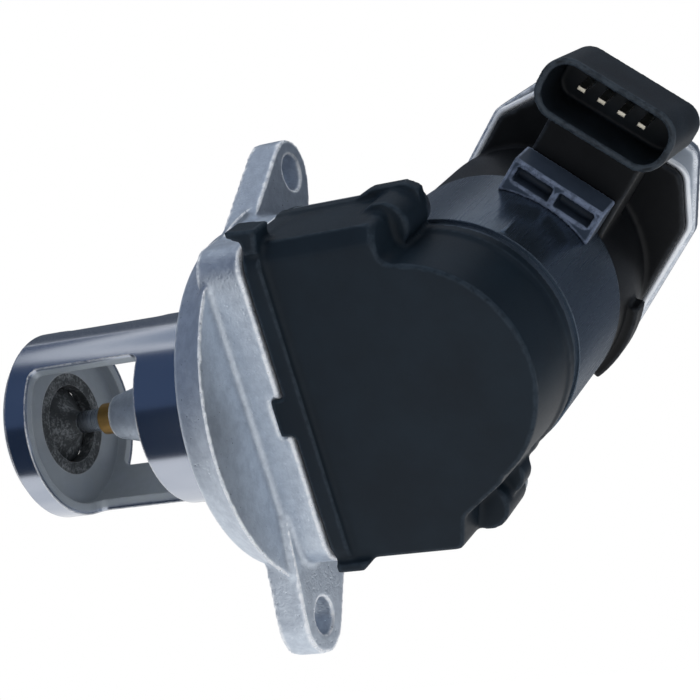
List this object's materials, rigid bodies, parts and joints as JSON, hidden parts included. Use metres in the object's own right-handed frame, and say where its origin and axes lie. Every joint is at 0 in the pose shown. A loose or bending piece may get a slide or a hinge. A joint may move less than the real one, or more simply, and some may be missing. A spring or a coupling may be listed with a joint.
{
  "type": "egr valve",
  "caption": "Electric exhaust gas recirculation valve: poppet in a windowed cage, two-eared flange, gear train and crank, motor in a tilted barrel with a socket.",
  "frame": {"origin": "where the valve axis crosses the back face of the two bolt ears, the plane that seats on the engine", "axes": "+X along the valve axis from the cage to the actuator, +Z along the line of the two ears towards the ear beside the socket, +Y the rest; the motor axis is square to X and tilted 27 degrees up from +Y"},
  "size_m": [0.146, 0.0975, 0.1171],
  "materials": {
    "polished_steel": "polished",
    "sooty_steel": "matt, with exhaust soot",
    "turned_steel": "turned",
    "spring_steel": "dark, drawn wire",
    "bush_brass": "turned",
    "seal_rubber": "matt",
    "gasket_rubber": "matt",
    "cast_aluminium": "cast, slightly rough",
    "plate_aluminium": "cast, satin",
    "cover_plastic": "satin, glass filled",
    "can_steel": "dark coated steel",
    "plate_steel": "zinc plated",
    "rear_plastic": "satin",
    "socket_plastic": "satin",
    "saddle_plastic": "satin grey",
    "gear_plastic": "moulded, natural",
    "sintered_steel": "sintered",
    "core_steel": "stacked laminations",
    "winding_copper": "enamelled copper wire",
    "commutator_copper": "turned copper",
    "magnet_ferrite": "ferrite",
    "brush_carbon": "carbon",
    "board_green": "satin lacquer",
    "pin_metal": "tin plated",
    "screw_steel": "zinc plated"
  },
  "bodies": {
    "housing": {"valve_cage": "polished_steel", "seat_ring": "sooty_steel", "guide_bush": "bush_brass", "stem_seal": "seal_rubber", "spring_seat": "turned_steel", "return_spring": "spring_steel", "valve_housing": "cast_aluminium", "cover_gasket": "gasket_rubber", "gear_cover": "cover_plastic", "motor_plate": "plate_steel", "cover_screws": "screw_steel", "motor_can": "can_steel", "motor_magnets": "magnet_ferrite", "front_bearing": "sintered_steel", "rear_bearing": "sintered_steel", "idler_axle": "turned_steel", "shaft_bushes": "sintered_steel", "sensor_board": "board_green", "rear_housing": "rear_plastic", "rear_plate": "plate_aluminium", "plate_screws": "screw_steel", "brush_holder": "rear_plastic", "brushes": "brush_carbon", "connector_housing": "socket_plastic", "connector_pins": "pin_metal", "connector_saddle": "saddle_plastic"},
    "crank": {"crank_shaft": "turned_steel", "sector_gear": "gear_plastic", "sensor_magnet": "magnet_ferrite", "crank_arm": "sintered_steel", "crank_pin": "turned_steel"},
    "idler": {"idler_gear": "gear_plastic"},
    "rotor": {"motor_shaft": "turned_steel", "armature_core": "core_steel", "windings": "winding_copper", "commutator": "commutator_copper", "motor_pinion": "bush_brass"},
    "valve": {"valve_stem": "turned_steel", "valve_head": "sooty_steel", "spring_retainer": "turned_steel", "stem_yoke": "sintered_steel"}
  },
  "joints": [
    {"name": "crank", "type": "hinge", "parent": "housing", "child": "crank", "pos_m": [0.0061, 0.0039, -0.00766], "axis": [0, -0.891, -0.454], "range_deg": [0, 47]},
    {"name": "idler_spin", "type": "hinge", "parent": "housing", "child": "idler", "pos_m": [0.02846, -0.01191, -0.00967], "axis": [0, -0.891, -0.454], "range_deg": [-169.5, 0]},
    {"name": "rotor_spin", "type": "hinge", "parent": "housing", "child": "rotor", "pos_m": [0.0414, -0.0025, 0.0049], "axis": [0, -0.891, -0.454], "range_deg": [0, 491]},
    {"name": "valve_slide", "type": "slide", "parent": "housing", "child": "valve", "axis": [-1, 0, 0], "range_m": [0, 0.0072], "deforming": ["return_spring"]}
  ],
  "couplings": [
    {"joint": "idler_spin", "follows": "crank", "ratio": -3.6},
    {"joint": "rotor_spin", "follows": "crank", "ratio": 10.44},
    {"joint": "valve_slide", "follows": "crank", "m_per_rad": 0.00875}
  ]
}
